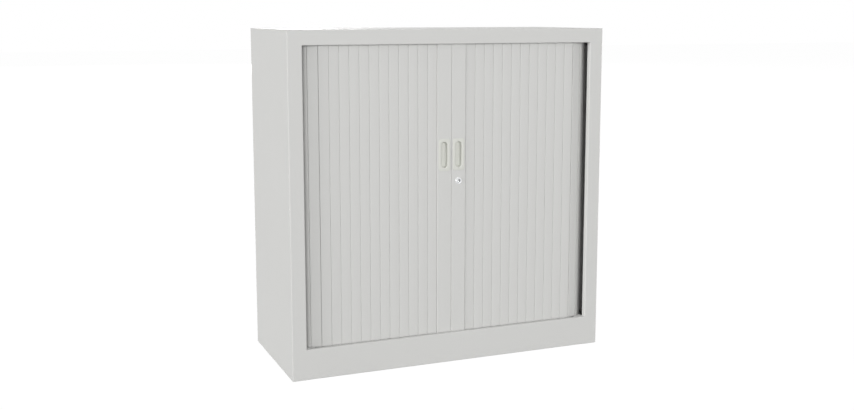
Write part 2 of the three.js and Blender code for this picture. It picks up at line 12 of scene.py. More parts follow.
import bmesh
import bpy
from mathutils import Euler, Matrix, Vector


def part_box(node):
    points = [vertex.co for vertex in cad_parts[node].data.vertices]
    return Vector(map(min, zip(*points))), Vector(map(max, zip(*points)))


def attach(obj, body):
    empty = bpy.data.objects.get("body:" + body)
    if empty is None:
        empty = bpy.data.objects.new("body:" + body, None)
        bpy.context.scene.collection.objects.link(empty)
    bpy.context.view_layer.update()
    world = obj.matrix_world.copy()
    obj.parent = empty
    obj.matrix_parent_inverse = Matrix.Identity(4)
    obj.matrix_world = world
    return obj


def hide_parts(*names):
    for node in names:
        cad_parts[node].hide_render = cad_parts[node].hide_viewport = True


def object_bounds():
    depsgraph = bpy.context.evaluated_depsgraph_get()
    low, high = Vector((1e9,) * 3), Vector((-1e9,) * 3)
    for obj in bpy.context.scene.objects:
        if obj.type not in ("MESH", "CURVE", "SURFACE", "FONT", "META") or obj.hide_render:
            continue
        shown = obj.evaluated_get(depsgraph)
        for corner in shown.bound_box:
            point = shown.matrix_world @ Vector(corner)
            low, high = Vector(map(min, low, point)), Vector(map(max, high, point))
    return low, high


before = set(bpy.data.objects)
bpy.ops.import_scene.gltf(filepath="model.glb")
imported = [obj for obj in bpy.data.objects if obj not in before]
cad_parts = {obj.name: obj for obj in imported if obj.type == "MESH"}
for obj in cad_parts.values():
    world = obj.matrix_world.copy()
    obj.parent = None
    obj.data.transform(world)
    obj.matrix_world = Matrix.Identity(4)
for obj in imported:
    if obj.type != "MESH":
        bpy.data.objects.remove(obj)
cad_box = [list(corner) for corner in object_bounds()]

# %% [markdown]
# ## Units and places
# Blender counts in metres and a cabinet maker in millimetres, so sizes are written as millimetres
# times `MM`. Most places, such as the stiles' edges and the hinges, are read from the frame's solids.

# %% Sizes read from the frame
MM = 0.001
SHEET = 1.2 * MM

case_low, case_high = [Vector(corner) for corner in cad_box]
stile_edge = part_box("right_side_panel")[0].x
rail_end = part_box("front_plinth")[1].x
side_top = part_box("right_side_panel")[1].z
cover_underside = case_high.z - SHEET
print("case, mm:", [round((high - low) / MM) for low, high in zip(case_low, case_high)])

# %% [markdown]
# ## Nodes written as sums
# A finish is a sum of small effects: a base colour, a faint cloudiness, a grain. Written as nodes
# one by one, such a sum is hard to read. So one small class wraps a socket and lets it stand in a
# Python expression. A second class holds a node tree. Its method `node` adds any other node from
# its type, its settings, and the values or links of its sockets.

# %% Terms that can be added and multiplied
class Term:
    """An output socket that can stand in a sum, a difference or a product."""

    def __init__(self, nodes, socket):
        self.nodes = nodes
        self.socket = socket

    def __getitem__(self, output):
        """Another output of the same node."""
        return Term(self.nodes, self.socket.node.outputs[output])

    def math(self, operation, first, second):
        return self.nodes.node("ShaderNodeMath", {"operation": operation}, {0: first, 1: second})

    def __add__(self, other):
        return self.math("ADD", self, other)

    def __radd__(self, other):
        return self.math("ADD", other, self)

    def __sub__(self, other):
        return self.math("SUBTRACT", self, other)

    def __rsub__(self, other):
        return self.math("SUBTRACT", other, self)

    def __mul__(self, other):
        return self.math("MULTIPLY", self, other)

    def __rmul__(self, other):
        return self.math("MULTIPLY", other, self)


# %% A tree that takes nodes
class Nodes:
    """A node tree of any kind, to which nodes are added one call each."""

    def __init__(self, tree):
        self.tree = tree

    def fill(self, node, sockets):
        """Gives each named or numbered socket its value, or links it if the value is a term."""
        for key, value in sockets.items():
            if isinstance(value, Term):
                self.tree.links.new(value.socket, node.inputs[key])
            else:
                node.inputs[key].default_value = value

    def node(self, kind, settings, sockets, output=0):
        """Adds a node, its settings before its sockets, and gives one of its outputs."""
        node = self.tree.nodes.new(kind)
        for name, value in settings.items():
            setattr(node, name, value)
        self.fill(node, sockets)
        return Term(self, node.outputs[output]) if node.outputs else None


print("classes:", Term.__name__, Nodes.__name__)

# %% [markdown]
# A finish holds one material. Its grain is noise in the piece's own coordinates, so it stays in the
# surface when a door moves. Noise hovers about one half, so `ripple` takes that half away: then a
# ripple leaves the mean of the colour or roughness as it is written.

# %% One material and its usual parts
class Finish(Nodes):
    """A material made of a Principled shader and what feeds it."""

    def __init__(self, name):
        self.material = bpy.data.materials.new(name)
        self.material.use_nodes = True
        super().__init__(self.material.node_tree)
        self.shader = self.tree.nodes["Principled BSDF"]

    def feed(self, sockets):
        """Feeds the shader and gives the finished material."""
        self.fill(self.shader, sockets)
        print("finish:", self.material.name)
        return self.material

    def place(self, stretch=(1, 1, 1)):
        where = self.node("ShaderNodeTexCoord", {}, {}, "Object")
        return self.node("ShaderNodeMapping", {}, {"Vector": where, "Scale": stretch})

    def ripple(self, scale, stretch=(1, 1, 1), detail=2.0):
        sockets = {"Vector": self.place(stretch), "Scale": scale, "Detail": detail}
        return self.node("ShaderNodeTexNoise", {}, sockets) - 0.5

    def cells(self, scale, output="Distance"):
        sockets = {"Vector": self.place(), "Scale": scale}
        return self.node("ShaderNodeTexVoronoi", {}, sockets, output)

    def tint(self, share, first, second):
        """A colour between two others."""
        sockets = {0: share, 6: first, 7: second}
        return self.node("ShaderNodeMix", {"data_type": "RGBA"}, sockets, 2)

    def shades(self, share, colour, spread):
        """A colour that runs from darker to lighter by a spread to each side."""
        return self.tint(share, shaded(colour, 1 - spread), shaded(colour, 1 + spread))

    def bump(self, height, depth):
        """A relief whose height of one is as deep as `depth`, in metres."""
        sockets = {"Height": height, "Distance": depth, "Strength": 1.0}
        return self.node("ShaderNodeBump", {}, sockets, "Normal")


def shaded(colour, factor):
    """The same colour, lighter or darker."""
    return (*(min(channel * factor, 1.0) for channel in colour), 1.0)


print("a grey a tenth lighter:", shaded((0.5, 0.5, 0.5), 1.1))

# %% [markdown]
# ## Powder coated steel
# The case is folded from steel sheet and powder coated in a light grey. Melted powder never flows
# out quite flat: it keeps an orange peel of shallow waves a millimetre or two across, and a faint
# cloudiness over the length of a panel. Two noises make the peel, a broad one the cloudiness. The
# waves are a few thousandths of a millimetre deep, so they show only where a lamp glances off.

# %% Paint
PAINT = (0.616, 0.616, 0.602)
PEEL_SCALE = 520
FINE_PEEL_SCALE = 1400
PEEL_DEPTH = 0.018 * MM
CLOUD_SCALE = 2.2
GLOSS_SCALE = 9.0


def painted_steel():
    finish = Finish("painted_steel_coat")
    fine_peel = finish.ripple(FINE_PEEL_SCALE, detail=1.0)
    peel = finish.ripple(PEEL_SCALE, detail=1.0) + 0.4 * fine_peel
    cloud = 0.5 + 1.6 * finish.ripple(CLOUD_SCALE, detail=3.0)
    gloss = 0.60 + 0.10 * finish.ripple(GLOSS_SCALE) + 0.05 * finish.ripple(PEEL_SCALE)
    return finish.feed({
        "Base Color": finish.shades(cloud, PAINT, 0.012),
        "Roughness": gloss,
        "Normal": finish.bump(peel, PEEL_DEPTH),
    })


paint = painted_steel()

# %% [markdown]
# ## Extruded slat plastic
# The curtain's slats are drawn through a die as long hollow bars. The die leaves fine lines along
# the slat, so the noise is fine across the slat and stretched along it. Each slat also has a tone
# of its own, up to half a percent lighter or darker than the mean. It is stored on the mesh as an
# attribute when the slat is made.

# %% Slat plastic
SLAT_GREY = (0.616, 0.616, 0.602)
DRAW_LINES = (1.0, 1.0, 0.004)
DRAW_SCALE = 900
DRAW_DEPTH = 0.012 * MM
HAZE_STRETCH = (1, 1, 0.15)
HAZE_SCALE = 14.0
SLAT_TONE = "slat_tone"


def slat_plastic():
    finish = Finish("slat_plastic_extruded")
    lines = finish.ripple(DRAW_SCALE, DRAW_LINES, detail=3.0)
    haze = finish.ripple(HAZE_SCALE, HAZE_STRETCH)
    tone = finish.node("ShaderNodeAttribute", {"attribute_name": SLAT_TONE}, {}, "Fac")
    return finish.feed({
        "Base Color": finish.shades(tone + 0.25 * haze + 0.12 * lines, SLAT_GREY, 0.025),
        "Roughness": 0.55 + 0.14 * lines + 0.08 * haze,
        "Normal": finish.bump(lines, DRAW_DEPTH),
    })


slat_finish = slat_plastic()

# %% [markdown]
# ## Moulded pulls
# The pulls are injection moulded in a slightly warmer grey. Their mould is spark eroded, which
# prints a fine even grain on the plastic. Small cells give that grain a rounder look than noise.

# %% Pull plastic
PULL_GREY = (0.640, 0.646, 0.602)
GRAIN_SCALE = 1900
GRAIN_DEPTH = 0.020 * MM
FLOW_STRETCH = (1, 1, 0.4)
FLOW_SCALE = 45.0


def pull_plastic():
    finish = Finish("pull_plastic_grained")
    grain = finish.cells(GRAIN_SCALE)
    flow = finish.ripple(FLOW_SCALE, FLOW_STRETCH)
    return finish.feed({
        "Base Color": finish.shades(0.5 + flow, PULL_GREY, 0.015),
        "Roughness": 0.40 + 0.12 * grain + 0.06 * flow,
        "Normal": finish.bump(grain, GRAIN_DEPTH),
    })


pull_finish = pull_plastic()

# %% [markdown]
# ## Metals
# The lock's face is chrome: nearly a mirror, with hair scratches from keys. Its cam and nut, the
# keeper and the levelling feet are zinc plated. Zinc grows in flat crystals, so each cell of a
# coarse pattern gets its own grey and its own gloss.

# %% Chrome and zinc
CHROME = (0.80, 0.81, 0.82)
SCRATCH_STRETCH = (1, 1, 0.05)
SCRATCH_SCALE = 700.0
SCRATCH_DEPTH = 0.004 * MM
ZINC = (0.456, 0.474, 0.479)
CRYSTAL_SCALE = 260
ZINC_GRAIN_SCALE = 2400.0
ZINC_GRAIN_DEPTH = 0.006 * MM


def chrome_plate():
    finish = Finish("chrome_plate")
    scratches = finish.ripple(SCRATCH_SCALE, SCRATCH_STRETCH, detail=4.0)
    return finish.feed({
        "Base Color": finish.shades(0.5 + scratches, CHROME, 0.04),
        "Metallic": 1.0,
        "Roughness": 0.13 + 0.10 * scratches,
        "Normal": finish.bump(scratches, SCRATCH_DEPTH),
    })


def zinc_plate():
    finish = Finish("zinc_plate")
    crystal = finish.cells(CRYSTAL_SCALE, "Color")
    grain = finish.ripple(ZINC_GRAIN_SCALE)
    return finish.feed({
        "Base Color": finish.shades(crystal, ZINC, 0.10),
        "Metallic": 1.0,
        "Roughness": 0.34 + 0.10 * crystal + 0.10 * grain,
        "Normal": finish.bump(grain, ZINC_GRAIN_DEPTH),
    })


chrome = chrome_plate()
zinc = zinc_plate()

# %% [markdown]
# The wall of the dish in the lock's plug and the slot for its key get a near-black finish. It is
# painted shade, in place of the shade that falls inside them, and draws a dark mark in the middle
# of the bright face.

# %% Painted shade for the plug's dish and slot
# Near-black colours: painted shade for the dish's wall and the key's slot, with a faint ripple.
DISH_SHADE_DARK = (0.030, 0.030, 0.032, 1)
DISH_SHADE_LIGHT = (0.055, 0.055, 0.058, 1)
SHADE_RIPPLE_SCALE = 900.0


def bare_bore():
    finish = Finish("bare_bore")
    shade_ripple = finish.ripple(SHADE_RIPPLE_SCALE)
    return finish.feed({
        "Base Color": finish.tint(0.5 + shade_ripple, DISH_SHADE_DARK, DISH_SHADE_LIGHT),
        "Metallic": 0.6,
        "Roughness": 0.55 + 0.20 * shade_ripple,
    })


dish_shade_finish = bare_bore()

# %% [markdown]
# ## Running parts
# The glides are natural nylon, a little milky, and the tracks are dark grey extruded plastic that
# the pins have polished. Both are matt with a soft, low grain.

# %% Nylon and track plastic
NYLON = (0.776, 0.759, 0.701)
TRACK_GREY = (0.262, 0.270, 0.279)
MOTTLE_SCALE = 120.0
MATT_GRAIN_SCALE = 1700.0
MATT_GRAIN_DEPTH = 0.010 * MM


def running_plastic(name, colour, roughness):
    finish = Finish(name)
    mottle = finish.ripple(MOTTLE_SCALE, detail=3.0)
    grain = finish.ripple(MATT_GRAIN_SCALE)
    return finish.feed({
        "Base Color": finish.shades(0.5 + mottle, colour, 0.04),
        "Roughness": roughness + 0.10 * mottle + 0.08 * grain,
        "Normal": finish.bump(grain, MATT_GRAIN_DEPTH),
    })


nylon = running_plastic("nylon_natural", NYLON, 0.48)
track_finish = running_plastic("track_plastic_extruded", TRACK_GREY, 0.46)

# %% [markdown]
# ## From a frame solid to a finished piece
# A frame solid is a heap of loose triangles with knife edges. A finished piece starts from a copy
# whose corners are merged and whose flat faces are made whole again. Then a bevel rounds its edges
# as a deburred or moulded edge is, and weighted normals keep the large faces flat in the light
# beside those small roundings.

# %% Copies and modifiers
MERGE_REACH = 0.01 * MM
FLAT_BELOW = math.radians(0.5)


def mesh_of(shape, name):
    """Turns a bmesh into a mesh and frees it."""
    mesh = bpy.data.meshes.new(name)
    shape.to_mesh(mesh)
    shape.free()
    return mesh


def merged_copy(node):
    """A clean mesh of a frame solid: shared corners and whole flat faces."""
    shape = bmesh.new()
    shape.from_mesh(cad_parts[node].data)
    bmesh.ops.remove_doubles(shape, verts=shape.verts, dist=MERGE_REACH)
    bmesh.ops.dissolve_limit(shape, angle_limit=FLAT_BELOW, verts=shape.verts, edges=shape.edges)
    return mesh_of(shape, f"{node}_mesh")


def new_piece(name, mesh):
    piece = bpy.data.objects.new(name, mesh)
    bpy.context.scene.collection.objects.link(piece)
    return piece


def settle(piece):
    """Turns the result of a piece's modifiers into its plain mesh."""
    depsgraph = bpy.context.evaluated_depsgraph_get()
    evaluated = piece.evaluated_get(depsgraph)
    mesh = bpy.data.meshes.new_from_object(evaluated, depsgraph=depsgraph)
    piece.modifiers.clear()
    piece.data = mesh


print("corners merge within, mm:", MERGE_REACH / MM)

# %% Rounded edges and flat faces
SMOOTH_BELOW = math.radians(38)
JOINT_REACH = 0.02 * MM
LARGE_FACE_WEIGHT = 100


def smooth(piece):
    """Shades a piece smooth, with sharp edges where faces turn by more than a bend does."""
    piece.data.shade_smooth()
    piece.data.set_sharp_from_angle(angle=SMOOTH_BELOW)


def at_place(corner, axis, place):
    """Whether a corner lies at a place along an axis, on either side of the middle."""
    return abs(abs(corner.co[axis]) - place) < JOINT_REACH


def mark_round_edges(mesh, joints):
    """Gives a bevel weight to the edges that turn by more than a bend and aren't at a joint."""
    shape = bmesh.new()
    shape.from_mesh(mesh)
    weight = shape.edges.layers.float.new("bevel_weight_edge")
    for edge in shape.edges:
        if len(edge.link_faces) == 2 and edge.calc_face_angle() > SMOOTH_BELOW:
            kept = any(all(at_place(corner, *joint) for corner in edge.verts) for joint in joints)
            edge[weight] = 0.0 if kept else 1.0
    shape.to_mesh(mesh)
    shape.free()


def soften(piece, width, segments=2, joints=()):
    """Rounds the marked edges of a piece and keeps its large faces flat."""
    mark_round_edges(piece.data, joints)
    bevel = piece.modifiers.new("Rounded edges", "BEVEL")
    bevel.width = width
    bevel.segments = segments
    bevel.limit_method = "WEIGHT"
    settle(piece)
    smooth(piece)
    normals = piece.modifiers.new("Flat faces", "WEIGHTED_NORMAL")
    normals.keep_sharp = True
    normals.weight = LARGE_FACE_WEIGHT
    settle(piece)


print("bends stay smooth below, degrees:", round(math.degrees(SMOOTH_BELOW)))

# %% [markdown]
# The last step is the same for every piece: its finish, the body that carries it, and the solids
# that it stands for.

# %% Dress a piece
def dress(piece, finish, body, slot, *nodes):
    piece.data.materials.clear()
    piece.data.materials.append(finish)
    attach(piece, body)
    if nodes:
        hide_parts(*nodes)
    print(f"{piece.name}: {len(piece.data.polygons)} faces on {body}")


# %% [markdown]
# ## The case
# The case is welded from folded panels: two sides that wrap round the front as stiles, a top whose
# front edge folds down as a rail, and a plinth. On the real case the welds between stiles, rail and
# plinth are ground flush and painted over, so no joint shows. The frame keeps a gap of 0.3 mm
# there, so each copy closes it by moving only the corners that lie on the joint.

# %% Case panels
X_AXIS, Y_AXIS, Z_AXIS = range(3)
SHEET_EDGE = 0.3 * MM


def close_joint(mesh, axis, place, new_place):
    """Moves the corners that lie at a place along an axis, on both sides of the middle."""
    corners = [corner for corner in mesh.vertices if at_place(corner, axis, place)]
    for corner in corners:
        corner.co[axis] = math.copysign(new_place, corner.co[axis])
    print(f"{mesh.name}: {len(corners)} corners moved to {new_place / MM:.1f} mm")


def case_panel(node, joints=()):
    mesh = merged_copy(node)
    for axis, place, new_place in joints:
        close_joint(mesh, axis, place, new_place)
    piece = new_piece(f"{node}_sheet", mesh)
    soften(piece, SHEET_EDGE, joints=[(axis, new_place) for axis, place, new_place in joints])
    dress(piece, paint, "case", "painted_steel", node)


for side in ("left", "right"):
    case_panel(f"{side}_side_panel", [(Z_AXIS, side_top, cover_underside)])
    case_panel(f"{side}_liner")
for node in ("top_panel", "front_plinth"):
    case_panel(node, [(X_AXIS, rail_end, stile_edge)])
for node in ("base_panel", "head_panel", "shelf_lower", "shelf_upper"):
    case_panel(node)

# %% [markdown]
# The stile's fold is rounded, so the rail and the plinth leave a small groove where they butt
# against it. A welder fills that groove and grinds it flush. Each filling is a prism whose front
# lies in the plane of the front and whose back follows the fold.

# %% Ground welds
FOLD_RADIUS = 2.4 * MM
FOLD_STEPS = 6
RAIL_HEIGHT = 43 * MM


def weld_filling(side, bottom, top):
    """The corner points of one filling, bottom ring first."""
    start = case_low.y
    middle = Vector((stile_edge + FOLD_RADIUS, start + FOLD_RADIUS))
    plan = [Vector((stile_edge, start))]
    for step in range(FOLD_STEPS + 1):
        angle = math.pi / 2 * step / FOLD_STEPS
        plan.append(middle - FOLD_RADIUS * Vector((math.sin(angle), math.cos(angle))))
    return [[(side * point.x, point.y, level) for point in plan] for level in (bottom, top)]


def prism_mesh(name, prisms):
    """Closed prisms from pairs of rings, in one mesh."""
    shape = bmesh.new()
    for rings in prisms:
        low_row, high_row = [[shape.verts.new(point) for point in ring] for ring in rings]
        shape.faces.new(low_row)
        shape.faces.new(high_row)
        for i in range(len(low_row)):
            j = (i + 1) % len(low_row)
            shape.faces.new((low_row[i], low_row[j], high_row[j], high_row[i]))
    bmesh.ops.recalc_face_normals(shape, faces=shape.faces)
    return mesh_of(shape, name)


weld_levels = (
    (case_low.z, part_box("front_plinth")[1].z), (case_high.z - RAIL_HEIGHT, cover_underside))
fillings = [weld_filling(side, *levels) for side in (-1, 1) for levels in weld_levels]
welds = new_piece("ground_welds", prism_mesh("ground_welds", fillings))
dress(welds, paint, "case", "painted_steel")

# %% [markdown]
# ## The back
# The back is a thinner sheet, laid on the rear flanges and held by blind rivets. The frame's back
# solid reaches to the full depth of the case. The rivet heads take up its last half millimetre, so
# nothing stands out past the case's own depth.

# %% Back sheet
RIVET_HEAD_HEIGHT = 0.55 * MM
sheet_face = case_high.y - RIVET_HEAD_HEIGHT

back_mesh = merged_copy("back_panel")
close_joint(back_mesh, Y_AXIS, case_high.y, sheet_face)
back = new_piece("back_sheet", back_mesh)
soften(back, SHEET_EDGE / 2)
dress(back, paint, "case", "painted_steel", "back_panel")

# %% [markdown]
# ## Rings and lofts
# Rivets, feet, pulls and the lock all have a section that changes from ring to ring. So they are
# lofts: closed rings of equally many points, joined by four-sided faces. One outline serves nearly
# all of them, a rectangle with rounded corners, which is a circle when its corners are as large as
# half its width.

# %% Loft helper
CORNER_POINTS = 9
SAME_POINT = 0.001 * MM


def rounded(width, height, corner):
    """The outline of a rectangle with rounded corners, about its middle."""
    points = []
    for quarter, (across, up) in enumerate(((1, 1), (-1, 1), (-1, -1), (1, -1))):
        middle = Vector((across * (width / 2 - corner), up * (height / 2 - corner)))
        for step in range(CORNER_POINTS):
            angle = (quarter + step / (CORNER_POINTS - 1)) * math.pi / 2
            points.append(middle + corner * Vector((math.cos(angle), math.sin(angle))))
    return points


def loft(name, rings, ring_closed=False):
    """A closed skin through rings of points. An open row of rings gets a cap at each end."""
    shape = bmesh.new()
    rows = [[shape.verts.new(point) for point in ring] for ring in rings]
    pairs = list(zip(rows, rows[1:]))
    if ring_closed:
        pairs.append((rows[-1], rows[0]))
    for first, second in pairs:
        for i in range(len(first)):
            j = (i + 1) % len(first)
            shape.faces.new((first[i], first[j], second[j], second[i]))
    if not ring_closed:
        shape.faces.new(rows[0])
        shape.faces.new(rows[-1])
    bmesh.ops.remove_doubles(shape, verts=shape.verts, dist=SAME_POINT)
    bmesh.ops.recalc_face_normals(shape, faces=shape.faces)
    return mesh_of(shape, name)


print("points in a ring:", len(rounded(2 * MM, 2 * MM, MM)))

# %% [markdown]
# Turned parts are written as profiles: pairs of a radius and a place along the axis. A quarter turn
# in a profile comes from `arc`.

# %% Rings in two planes
EDGE_STEPS = 4
ROUND_STEPS = 5


def front_ring(outline, middle, depth):
    """An outline that faces the front, at a depth along Y."""
    return [Vector((middle.x + point.x, depth, middle.z + point.y)) for point in outline]


def level_ring(outline, middle, level):
    """An outline that lies level, at a height along Z."""
    return [Vector((middle.x + point.x, middle.y + point.y, level)) for point in outline]


def turned(profile, middle, ring):
    """Circles round a middle, one for each (radius, place) pair of a profile."""
    circles = [(rounded(2 * radius, 2 * radius, radius), place) for radius, place in profile]
    return [ring(circle, middle, place) for circle, place in circles]


def arc(start, end, steps):
    """Shares of a turn, as (along, out) pairs from one angle in degrees to another."""
    angles = [math.radians(start + (end - start) * step / steps) for step in range(steps + 1)]
    return [(math.cos(angle), math.sin(angle)) for angle in angles]


print("shares of a rounded edge:", [round(out, 3) for along, out in arc(0, 90, EDGE_STEPS)])

# %% [markdown]
# ## Blind rivets
# A blind rivet has a low domed head with the dimple of its pulled pin in the middle. One head is
# lofted as a pattern, from its brim over the dome into the dimple.

# %% One rivet head
RIVET_RADIUS = 3.2 * MM
RIVET_DIMPLE = 1.0 * MM
RIVET_BRIM = 0.2
DIMPLE_FLOOR = ((0.8, 0.35), (0.1, 0.3))


def rivet_profile():
    """Radii and heights. The brim and the dimple's floor are given as shares."""
    shares = [(RIVET_RADIUS, 0)]
    for along, out in arc(0, 90, EDGE_STEPS):
        reach = RIVET_DIMPLE + (RIVET_RADIUS - RIVET_DIMPLE) * along
        shares.append((reach, RIVET_BRIM + (1 - RIVET_BRIM) * out))
    shares += [(RIVET_DIMPLE * across, up) for across, up in DIMPLE_FLOOR]
    return [(radius, RIVET_HEAD_HEIGHT * share) for radius, share in shares]


head_mesh = loft("rivet_head", turned(rivet_profile(), Vector(), level_ring))
head_pattern = new_piece("rivet_pattern", head_mesh)
print("faces of one rivet head:", len(head_mesh.polygons))

# %% [markdown]
# A Geometry Nodes tree sets the head on every point of a small mesh of places. It turns each head
# about its own axis by a random angle with a fixed seed, because a riveter never lines them up.
# Three helpers start, end and run this tree and the slats' tree further on. At a tree's end, copies
# are made real and get their finish.

# %% The start, the end and the run of a tree
def new_tree(name, inputs, output):
    """A Geometry Nodes tree with named inputs, as (name, kind) pairs, and one output."""
    tree = bpy.data.node_groups.new(name, "GeometryNodeTree")
    for label, kind in inputs:
        tree.interface.new_socket(name=label, in_out="INPUT", socket_type=f"NodeSocket{kind}")
    tree.interface.new_socket(name=output, in_out="OUTPUT", socket_type="NodeSocketGeometry")
    return Nodes(tree)


def end_tree(nodes, geometry, finish):
    """Makes copies real, gives all faces their finish, and closes the tree."""
    real = nodes.node("GeometryNodeRealizeInstances", {}, {"Geometry": geometry})
    coated = nodes.node("GeometryNodeSetMaterial", {}, {"Geometry": real, "Material": finish})
    nodes.node("NodeGroupOutput", {}, {0: coated})
    print("tree:", nodes.tree.name, len(nodes.tree.nodes), "nodes")
    return nodes.tree


def upwards(nodes, height):
    return nodes.node("ShaderNodeCombineXYZ", {}, {"Z": height})


def run_tree(piece, tree, values):
    """Turns a piece into what a tree makes of it. Inputs are set by their sockets' identifiers."""
    modifier = piece.modifiers.new(tree.name, "NODES")
    modifier.node_group = tree
    for item in tree.interface.items_tree:
        if item.in_out == "INPUT" and item.name in values:
            modifier[item.identifier] = values[item.name]
    settle(piece)
    smooth(piece)


# %% A tree that sets heads on places
def fastener_tree():
    nodes = new_tree("Heads on places", (
        ("Places", "Geometry"), ("Head", "Object"), ("Facing", "Vector"), ("Finish", "Material"),
        ("Seed", "Int")), "Heads")
    given = nodes.node("NodeGroupInput", {}, {})
    head = nodes.node("GeometryNodeObjectInfo", {}, {"Object": given["Head"]}, "Geometry")
    spin = nodes.node("FunctionNodeRandomValue", {"data_type": "FLOAT"},
                      {3: math.tau, 8: given["Seed"]}, 1)
    facing = nodes.node("FunctionNodeEulerToRotation", {}, {0: given["Facing"]})
    about = nodes.node("FunctionNodeEulerToRotation", {}, {0: upwards(nodes, spin)})
    turn = nodes.node("FunctionNodeRotateRotation", {"rotation_space": "LOCAL"},
                      {0: facing, 1: about})
    heads = nodes.node("GeometryNodeInstanceOnPoints", {},
                       {"Points": given["Places"], "Instance": head, "Rotation": turn})
    return end_tree(nodes, heads, given["Finish"])


heads_on_places = fastener_tree()

# %% [markdown]
# The rivets run in one row down each rear flange and along the top and bottom edges of the back, at
# a pitch of about 150 mm. The rows keep off the corners, as a riveting jig does.

# %% Rivet the back
RIVET_PITCH = 150 * MM
FLANGE_ROW = 8 * MM
ROW_END = 40 * MM
FACING_BACK = (-math.pi / 2, 0, 0)
RIVET_SEED = 7


def spread(low, high, pitch):
    """Even places from low to high, about a pitch apart."""
    count = max(round((high - low) / pitch), 1)
    return [low + (high - low) * step / count for step in range(count + 1)]


def rivet_places(low, high):
    heights = spread(low.z + ROW_END, high.z - ROW_END, RIVET_PITCH)
    widths = spread(low.x + ROW_END, high.x - ROW_END, RIVET_PITCH)
    columns = (low.x + FLANGE_ROW, high.x - FLANGE_ROW)
    rows = (low.z + FLANGE_ROW, high.z - FLANGE_ROW)
    places = [(x, sheet_face, z) for x in columns for z in heights]
    return places + [(x, sheet_face, z) for z in rows for x in widths]


places_mesh = bpy.data.meshes.new("back_rivets_places")
places_mesh.from_pydata(rivet_places(*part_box("back_panel")), [], [])
rivets = new_piece("back_rivets", places_mesh)
run_tree(rivets, heads_on_places, {
    "Head": head_pattern, "Facing": FACING_BACK, "Finish": paint, "Seed": RIVET_SEED})
dress(rivets, paint, "case", "painted_steel")
bpy.data.objects.remove(head_pattern)

# %% [markdown]
# ## The curtain slats
# Each slat is a link of the curtain: a long hollow bar with a socket along one edge and a bead
# along the other. The bead of one slat turns in the socket of the next, and its ends are the pins
# that run in the tracks. All slats share one section, so the section is drawn once as a wire, and
# one Geometry Nodes tree fills it, draws it up to its height, adds the pins and stands it on its
# hinge at its turn.

# %% Slat sizes
SLAT_PITCH = 30 * MM
SLAT_THICKNESS = 8 * MM
SLAT_CROWN = 0.18 * MM
SLAT_ROUNDING = 0.6 * MM
GROOVE = 0.3 * MM
SOCKET_REACH = 3.4 * MM
BEAD_RADIUS = 2 * MM
SOCKET_BORE = 2.4 * MM
NECK = 1.6 * MM
REAR_LIP = 1.3 * MM
REAR_RELIEF = 2.2 * MM
SOCKET_DROP = 1.4 * MM
MOUTH_ANGLES = (117.0, -144.0)

slat_low, slat_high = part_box("right_lead_slat")
first_low, first_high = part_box("right_slat_01")
curtain_y = (first_low.y + first_high.y) / 2
print("slat height, mm:", round((slat_high.z - slat_low.z) / MM, 1))

# %% [markdown]
# In the section, x runs outwards from the inner hinge and y to the back. Its front face has a
# slight crown and round shoulders. The crown turns the two halves of each slat a degree or two
# apart, and that is what makes the slats show one by one in soft light.

# %% The section's wire
SHOULDER_STEPS = 5
CROWN_STEPS = 8
BEAD_STEPS = 16
SOCKET_STEPS = 14


def turn_points(middle, radius, start, end, steps):
    """Points on an arc, by angles in degrees."""
    return [middle + radius * Vector(share) for share in arc(start, end, steps)]


def front_face(inner, outer, face):
    """The crowned front with its two round shoulders, from the inner edge to the outer one."""
    half, rounding = (outer - inner) / 2, SLAT_ROUNDING
    level = face + SLAT_CROWN + rounding
    points = turn_points(Vector((inner + rounding, level)), rounding, 180, 270, SHOULDER_STEPS)
    for step in range(1, CROWN_STEPS):
        across = -1 + 2 * step / CROWN_STEPS
        x = inner + half * (1 + across * (1 - rounding / half))
        points.append(Vector((x, face + SLAT_CROWN * across ** 2)))
    far_shoulder = Vector((outer - rounding, level))
    return points + turn_points(far_shoulder, rounding, 270, 360, SHOULDER_STEPS)


def bead_edge(end, rear):
    """The outer edge: the neck, the bead and the relieved rear corner."""
    neck = NECK / 2
    root = math.degrees(math.asin(neck / BEAD_RADIUS))
    bead = turn_points(Vector((SLAT_PITCH, 0)), BEAD_RADIUS, -180 + root, 180 - root, BEAD_STEPS)
    return [Vector((end, -neck)), *bead, Vector((end, neck)), Vector((end - REAR_RELIEF, rear))]


def slat_section():
    half = SLAT_THICKNESS / 2
    inner = -SOCKET_REACH
    outer = SLAT_PITCH - SOCKET_REACH - GROOVE
    return [
        *front_face(inner, outer, -half),
        *bead_edge(outer, half),
        Vector((-REAR_LIP, half)),
        *turn_points(Vector((0, 0)), SOCKET_BORE, *MOUTH_ANGLES, SOCKET_STEPS),
        Vector((inner, -SOCKET_DROP)),
    ]


section = slat_section()
print("points in a slat's section:", len(section))

# %% [markdown]
# The bar is hollow: three chambers between walls as thick as the neck. They show only at a cut end,
# so every fourth point of a rounded outline is enough for them.

# %% Chambers and the wire mesh
CHAMBERS = 3
CHAMBER_POINT_STEP = 4


def chambers():
    low = SOCKET_BORE + NECK
    high = SLAT_PITCH - SOCKET_REACH - REAR_RELIEF - GROOVE - NECK
    share = (high - low) / CHAMBERS
    size = (share - NECK * (CHAMBERS - 1) / CHAMBERS, SLAT_THICKNESS - 2 * NECK)
    outline = rounded(*size, min(size) / 4)[::CHAMBER_POINT_STEP]
    middles = [Vector((low + share * (step + 0.5), 0)) for step in range(CHAMBERS)]
    return [[middle + point for point in outline] for middle in middles]


def wire(name, outlines, flip):
    """Closed outlines as edges. A flip of -1 mirrors them for the left door."""
    points, edges = [], []
    for outline in outlines:
        first, count = len(points), len(outline)
        points += [(flip * point.x, point.y, 0) for point in outline]
        edges += [(first + i, first + (i + 1) % count) for i in range(count)]
    mesh = bpy.data.meshes.new(name)
    mesh.from_pydata(points, edges, [])
    return mesh


outlines = [section, *chambers()]
print("outlines in a slat's wire:", len(outlines))

